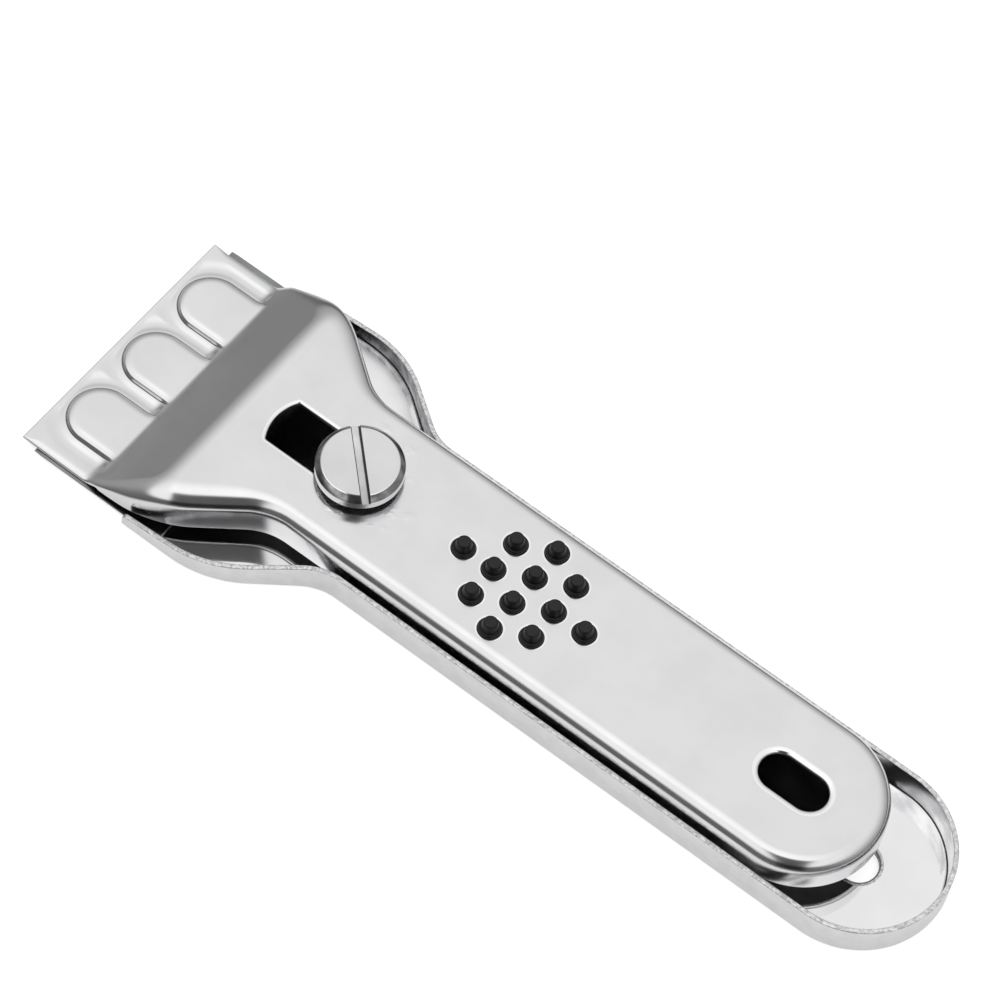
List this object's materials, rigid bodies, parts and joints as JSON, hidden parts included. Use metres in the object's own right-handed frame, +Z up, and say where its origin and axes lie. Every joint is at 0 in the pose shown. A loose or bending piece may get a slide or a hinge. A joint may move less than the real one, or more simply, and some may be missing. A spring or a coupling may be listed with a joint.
{
  "type": "razor blade scraper",
  "caption": "Stamped stainless steel hob scraper with a sliding cover that shields its razor blade, a slotted clamp screw, rubber grip studs and a hanging hole.",
  "frame": {"origin": "middle of the closed tool's length and width, on the flat underside of the tray", "axes": "+X along the tool from the blade to the hanging hole, +Y across it, +Z up from the table through the cover"},
  "size_m": [0.1392, 0.0452, 0.013],
  "materials": {
    "stamped_steel": "polished stainless sheet, with rolled bright edges",
    "blade_steel": "ground and oiled blade steel",
    "turned_steel": "bright turned and plated steel",
    "black_rubber": "matt moulded rubber"
  },
  "bodies": {
    "tray": {"bottom_tray": "stamped_steel", "screw_post": "turned_steel"},
    "cover": {"top_cover": "stamped_steel", "grip_pad": "black_rubber"},
    "blade": {"blade": "blade_steel"},
    "screw": {"clamp_screw": "turned_steel"}
  },
  "joints": [
    {"name": "cover_slide", "type": "slide", "parent": "tray", "child": "cover", "axis": [1, 0, 0], "range_m": [0, 0.0097]},
    {"name": "blade_change", "type": "slide", "parent": "tray", "child": "blade", "axis": [-1, 0, 0], "range_m": [0, 0.024]},
    {"name": "screw_turn", "type": "hinge", "parent": "tray", "child": "screw", "pos_m": [-0.0277, 0, 0.0106], "axis": [0, 0, 1], "range_deg": [-566, 720]}
  ]
}
